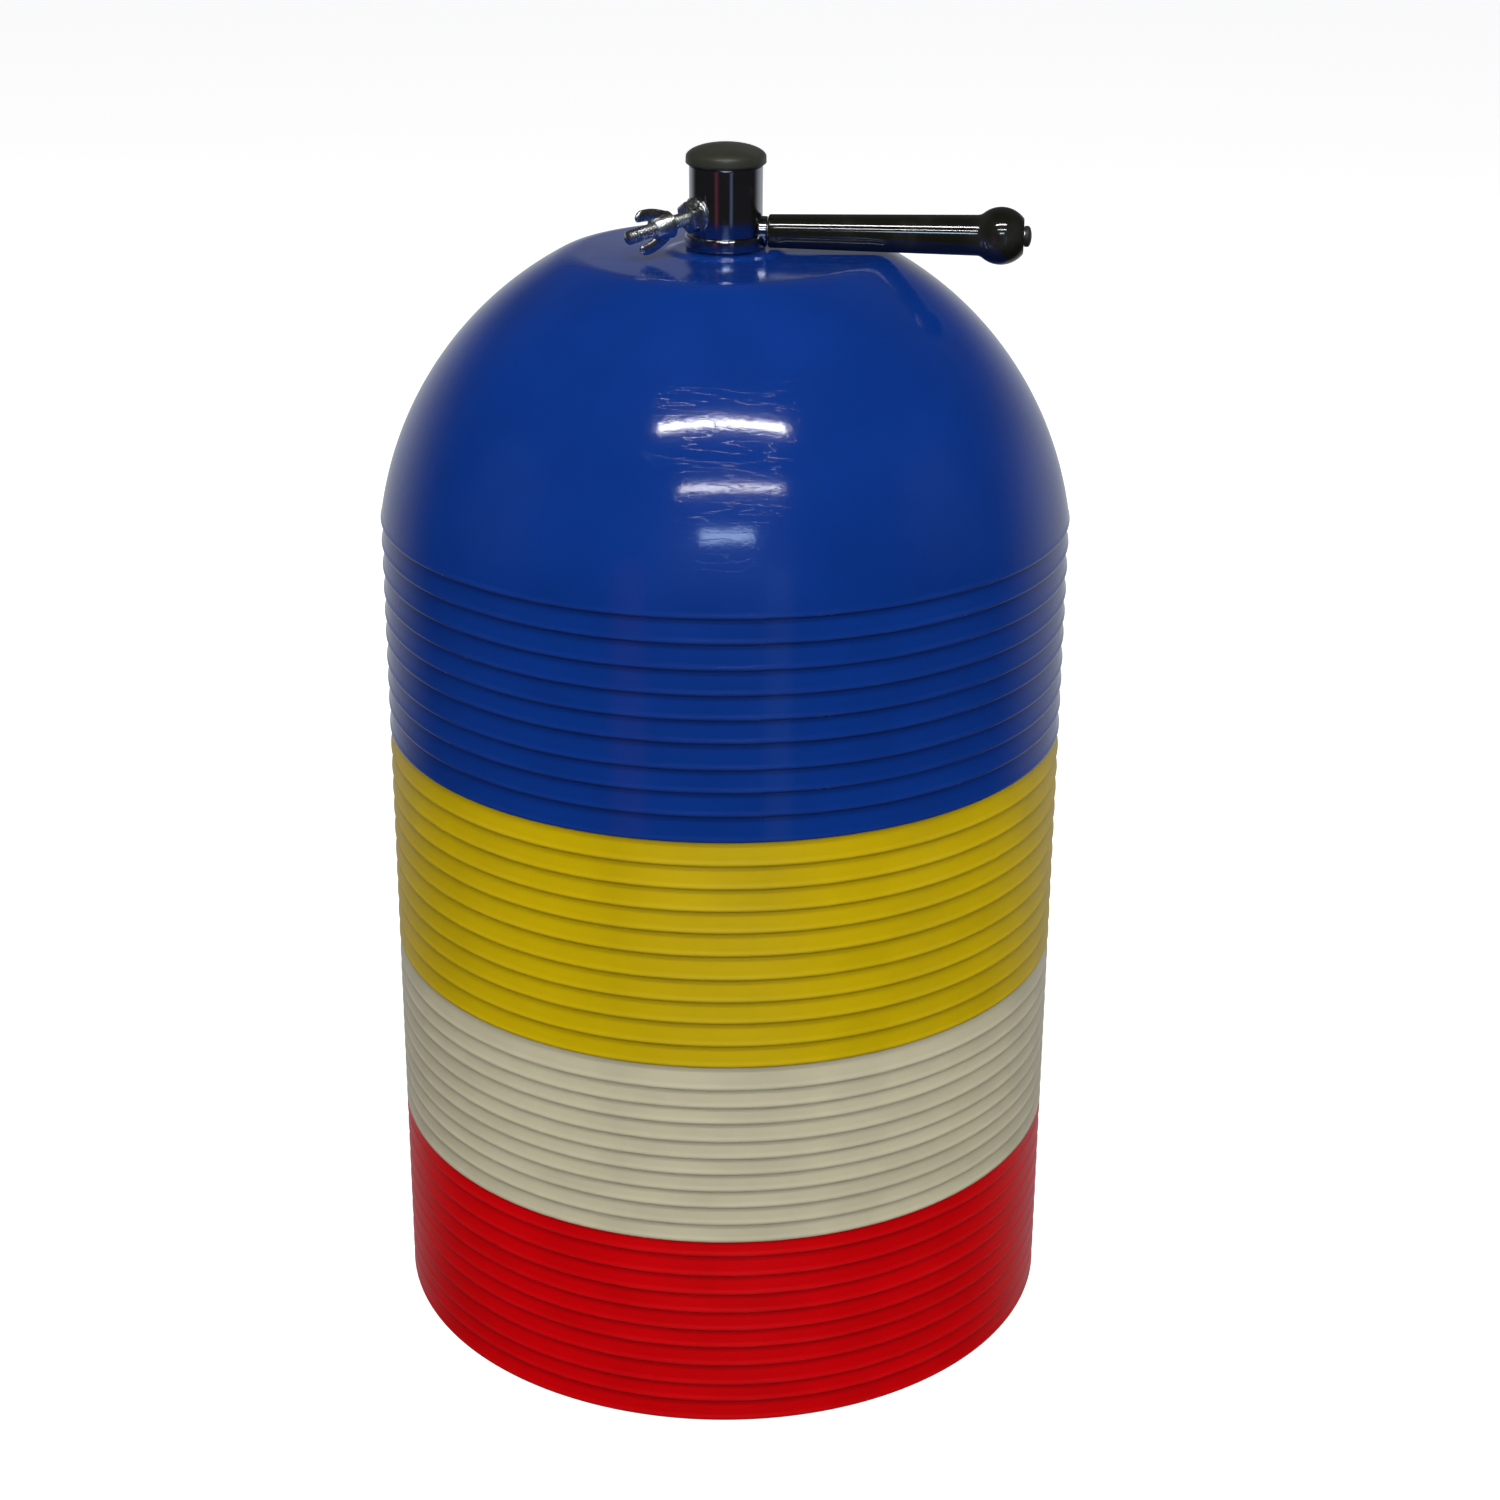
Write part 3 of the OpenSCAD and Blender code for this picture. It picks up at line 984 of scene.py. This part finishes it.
    def wing(self, name: str, side: float) -> bpy.types.Object:
        """Makes one wing.

        Args:
            name: The piece's name.
            side: 1 or -1, for the side of the screw.

        Returns:
            The wing in the screw's own coordinates.
        """
        root = Vector((self.wing_root[0], 0.0, self.wing_root[1]))
        tip = Vector((self.wing_tip[0], 0.0, self.wing_tip[1]))
        steps = 14
        sections = []
        for k in range(steps + 1):
            t = k / steps
            bow = math.sin(math.pi * t) * 1.1 * MM
            spot = root.lerp(tip, t) + Vector((bow, 0.0, 0.0))
            end_round = math.sqrt(max(0.0, 1.0 - max(0.0, (t - 0.82) / 0.18) ** 2))
            width = (2.9 - 0.5 * t) * MM * max(0.12, end_round)
            thick = (1.45 - 0.35 * t) * MM * max(0.2, end_round)
            lean = Vector((math.cos(0.35), 0.0, -math.sin(0.35)))
            sections.append(
                Section(
                    Vector((side * spot.x, 0.0, spot.z)),
                    Vector((side * lean.x, 0.0, lean.z)) * width,
                    Vector((0.0, thick, 0.0)),
                )
            )
        return loft(name, sections, 24, 2.6)


# ---------------------------------------------------------------- the handle


@dataclass
class SideHandle:
    """The side handle: neck, spindle, grip with its ball and the end nut.

    Args:
        small: Radius of the grip at the sleeve.
        large: Radius of the grip next to the ball.
        ball: Radius of the ball.
        ball_width: Length of the ball along the handle.
        flare: Radius of the hollow between grip and ball.
        neck_radius: Radius of the chromed neck.
        spindle: Radius of the spindle's hole in the neck.
        body: The body that the neck moves with.
        grip_body: The body that the grip moves with.
    """

    small: float = 7 * MM
    large: float = 8.5 * MM
    ball: float = 12 * MM
    ball_width: float = 19 * MM
    flare: float = 4 * MM
    neck_radius: float = 6.2 * MM
    spindle: float = 4.05 * MM
    body: str = "handle_sleeve"
    grip_body: str = "handle_grip"

    def along_handle(self) -> Matrix:
        """Returns the place whose Z axis runs outwards along the handle."""
        low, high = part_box("grip")
        return Matrix.Translation((0.0, 0.0, (low.z + high.z) / 2.0)) @ Matrix.Rotation(math.radians(90.0), 4, "Y")

    def build(self) -> None:
        """Builds every piece of the handle."""
        keep("handle_spindle", Finish.ZINC)
        self.neck()
        self.grip()
        self.end_nut()

    def neck(self) -> None:
        """Makes the chromed neck between sleeve and grip."""
        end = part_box("handle_neck")[1].x
        start, e = 13.6 * MM, 0.6 * MM
        outline = [
            (self.spindle, start),
            (self.neck_radius - e, start),
            (self.neck_radius, start + e),
            *arc((self.neck_radius - e, end - e), e, 0.0, 90.0, 4),
            (self.spindle, end),
        ]
        piece = lathe("handle_chromed_neck", outline, 64, closed=True)
        piece.matrix_world = self.along_handle()
        put(piece, self.body, Finish.DARK_CHROME, ("handle_neck",))

    def grip_outline(self) -> list[Point]:
        """Returns the grip's outside from the sleeve's end to its far face."""
        low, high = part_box("grip")
        start, end = low.x, high.x
        middle = end - self.ball_width / 2.0
        edge, hollow = 1.0 * MM, self.flare
        hollow_r = self.large + hollow
        hollow_x = middle - math.sqrt((self.ball + hollow) ** 2 - hollow_r**2)
        meet = math.degrees(math.atan2(middle - hollow_x, hollow_r))
        last = math.degrees(math.asin(self.ball_width / 2.0 / self.ball))
        shaft = []
        for k in range(25):
            t = k / 24
            shaft.append((self.small + (self.large - self.small) * t, start + edge + (hollow_x - start - edge) * t))
        turn_in = arc((self.small - edge, start + edge), edge, -90.0, 0.0, 5)
        flare = arc((hollow_r, hollow_x), hollow, 180.0, 180.0 - meet, 7)
        ball = arc((0.0, middle), self.ball, -meet, last, 26)
        return turn_in + shaft[1:] + flare[1:] + ball[1:]

    def grip(self) -> None:
        """Makes the grip with its parting line."""
        bore, end = 4.3 * MM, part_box("grip")[1].x
        outline = [(bore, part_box("grip")[0].x), *self.grip_outline(), (bore, end)]
        piece = lathe("handle_ball_grip", outline, 96, closed=True)
        for vertex in piece.data.vertices:
            x, y = vertex.co.x, vertex.co.y
            reach = math.hypot(x, y)
            seam = math.exp(-((y / (0.28 * MM)) ** 2)) * 0.06 * MM
            if reach > bore + 1.0 * MM:
                vertex.co.x += math.copysign(seam, x)
        piece.matrix_world = self.along_handle()
        put(piece, self.grip_body, Finish.GRIP, ("grip",))

    def end_nut(self) -> None:
        """Makes the small domed nut at the grip's end."""
        low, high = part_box("end_nut")
        radius, height = high.y, high.x - low.x
        outline = [
            (0.0, low.x),
            (radius, low.x),
            (radius, low.x + height * 0.45),
            *[(radius * math.cos(a), low.x + height * (0.45 + 0.55 * math.sin(a))) for a in (0.3, 0.6, 0.9, 1.2)],
            (0.0, high.x),
        ]
        piece = lathe("handle_end_nut", outline, 48)
        piece.matrix_world = self.along_handle()
        put(piece, self.body, Finish.BLACK_PLASTIC, ("end_nut",))


# ---------------------------------------------------------------- the studio


@dataclass(frozen=True)
class SoftLamp:
    """One soft rectangular lamp.

    Args:
        name: Its name.
        bearing: Its direction from the stack in degrees, 0 in front, positive to the right.
        rise: Its height above level, in degrees.
        distance: Its distance from the stack's top.
        size: Its width and height.
        power: Its power in watts.
        colour: Its colour.
        mirrored: True if glossy pieces show it.
    """

    name: str
    bearing: float
    rise: float
    distance: float
    size: Point
    power: float
    colour: Colour = (1.0, 1.0, 1.0)
    mirrored: bool = True

    def hang(self, target: Vector) -> None:
        """Adds the lamp, turned towards target."""
        data = bpy.data.lights.new(self.name, "AREA")
        data.shape = "RECTANGLE"
        data.size, data.size_y = self.size
        data.energy = self.power
        data.color = self.colour
        lamp = bpy.data.objects.new(self.name, data)
        bearing, rise = math.radians(self.bearing), math.radians(self.rise)
        way = Vector((math.sin(bearing) * math.cos(rise), -math.cos(bearing) * math.cos(rise), math.sin(rise)))
        lamp.location = target + way * self.distance
        lamp.rotation_euler = way.to_track_quat("Z", "Y").to_euler()
        lamp.visible_glossy = self.mirrored
        bpy.context.scene.collection.objects.link(lamp)


@dataclass
class Studio:
    """Camera, floor, lamps and surroundings.

    Args:
        bearing: How far the camera stands round from the front, in degrees.
        distance: The camera's distance from the pole, measured level.
        height: Its height above the floor.
        pitch: How far it looks down, in degrees.
        lens: Its focal length in millimetres on a 36 mm sensor.
        shift: Its sideways shift.
        roll: Its roll in degrees.
    """

    bearing: float = 5.5
    distance: float = 1.148
    height: float = 0.7198
    pitch: float = 21.94
    lens: float = 65.4
    shift: float = 0.017
    roll: float = 0.15

    def build(self) -> None:
        """Sets up the whole studio."""
        self.camera()
        self.floor()
        self.lamps()
        self.surroundings()
        bpy.context.scene.view_settings.view_transform = "Standard"

    def camera(self) -> None:
        """Places the camera."""
        data = bpy.data.cameras.new("studio_camera")
        data.sensor_width = 36.0
        data.lens = self.lens
        data.shift_x = self.shift
        data.clip_start, data.clip_end = 0.01, 100.0
        camera = bpy.data.objects.new("studio_camera", data)
        turn = math.radians(self.bearing)
        spot = Vector((math.sin(turn) * self.distance, -math.cos(turn) * self.distance, self.height))
        aim = Matrix.Rotation(turn, 4, "Z") @ Matrix.Rotation(math.radians(90.0 - self.pitch), 4, "X")
        camera.matrix_world = Matrix.Translation(spot) @ aim @ Matrix.Rotation(math.radians(self.roll), 4, "Z")
        bpy.context.scene.collection.objects.link(camera)
        bpy.context.scene.camera = camera

    def floor(self) -> None:
        """Lays the plain pale floor."""
        half = 6.0
        work = bmesh.new()
        work.faces.new([work.verts.new((x * half, y * half, 0.0)) for x, y in ((-1, -1), (1, -1), (1, 1), (-1, 1))])
        plane = mesh_object("studio_floor", work)

        def shade(graph: Graph) -> Inputs:
            """Gives the floor's inputs."""
            faint = graph.noise(3.0, 3.0)
            return {
                "Base Color": graph.mix(faint, (0.58, 0.58, 0.58, 1.0), (0.62, 0.62, 0.62, 1.0)),
                "Roughness": 0.7,
                "Emission Color": (1.0, 1.0, 1.0, 1.0),
                "Emission Strength": 0.91,
            }

        plane.data.materials.append(surface("studio_floor", shade))
        plane.visible_glossy = False
        plane.visible_diffuse = False

    def lamps(self) -> None:
        """Hangs the lamps."""
        target = Vector((0.0, 0.0, 0.45))
        for lamp in (
            SoftLamp("high_strip", 4.0, 57.0, 1.9, (1.3, 0.075), 15.0),
            SoftLamp("middle_strip", 8.0, 36.5, 2.1, (1.2, 0.035), 5.5),
            SoftLamp("low_glow", 6.0, 21.5, 2.4, (0.7, 0.16), 4.0, (0.55, 0.75, 1.0)),
            SoftLamp("rose_strip", -24.0, -4.0, 2.2, (0.40, 1.2), 0.18, (1.0, 0.16, 0.25)),
            SoftLamp("cool_strip", 22.0, -4.0, 2.2, (0.30, 1.2), 0.25, (0.45, 0.6, 1.0)),
            SoftLamp("front_fill", 5.0, 18.0, 2.6, (2.0, 1.4), 25.0, mirrored=False),
            SoftLamp("left_fill", -75.0, 15.0, 2.6, (1.4, 1.4), 15.0, mirrored=False),
            SoftLamp("right_fill", 85.0, 15.0, 2.6, (1.4, 1.4), 15.0, mirrored=False),
            SoftLamp("back_fill", 180.0, 22.0, 2.6, (1.8, 1.4), 14.0, mirrored=False),
            SoftLamp("overhead", 0.0, 78.0, 2.2, (2.6, 1.6), 8.0, mirrored=False),
        ):
            lamp.hang(target)

    def surroundings(self) -> None:
        """Makes the world: pale behind and at the sides, dim in front."""
        world = bpy.data.worlds.new("studio_world")
        bpy.context.scene.world = world
        world.use_nodes = True
        graph = Graph(world.node_tree)
        way = graph.node("ShaderNodeTexCoord", output="Generated")
        depth = graph.node("ShaderNodeSeparateXYZ", inputs={0: way}, output="Y")
        rise = graph.node("ShaderNodeSeparateXYZ", inputs={0: way}, output="Z")
        behind = depth.ramp(0.2, 0.85)
        low = 1.0 - rise.ramp(-0.1, 0.4)
        lit = graph.mix(behind * (0.10 + 0.90 * low), (0.02, 0.02, 0.022, 1.0), (0.50, 0.52, 0.56, 1.0))
        seen = graph.node("ShaderNodeLightPath", output="Is Camera Ray")
        colour = graph.mix(seen, lit, (0.93, 0.93, 0.93, 1.0))
        light = graph.node("ShaderNodeBackground", inputs={"Color": colour, "Strength": 1.0})
        graph.add("ShaderNodeOutputWorld", NOTHING, {"Surface": light})


def main() -> None:
    """Builds the studio and every sub-assembly in order."""
    logging.basicConfig(level=logging.INFO, format="%(name)s: %(message)s")
    Studio().build()
    DomeStack().build()
    FootStand().build()
    ClampSleeve().build()
    SideHandle().build()


if __name__ == "__main__":
    main()
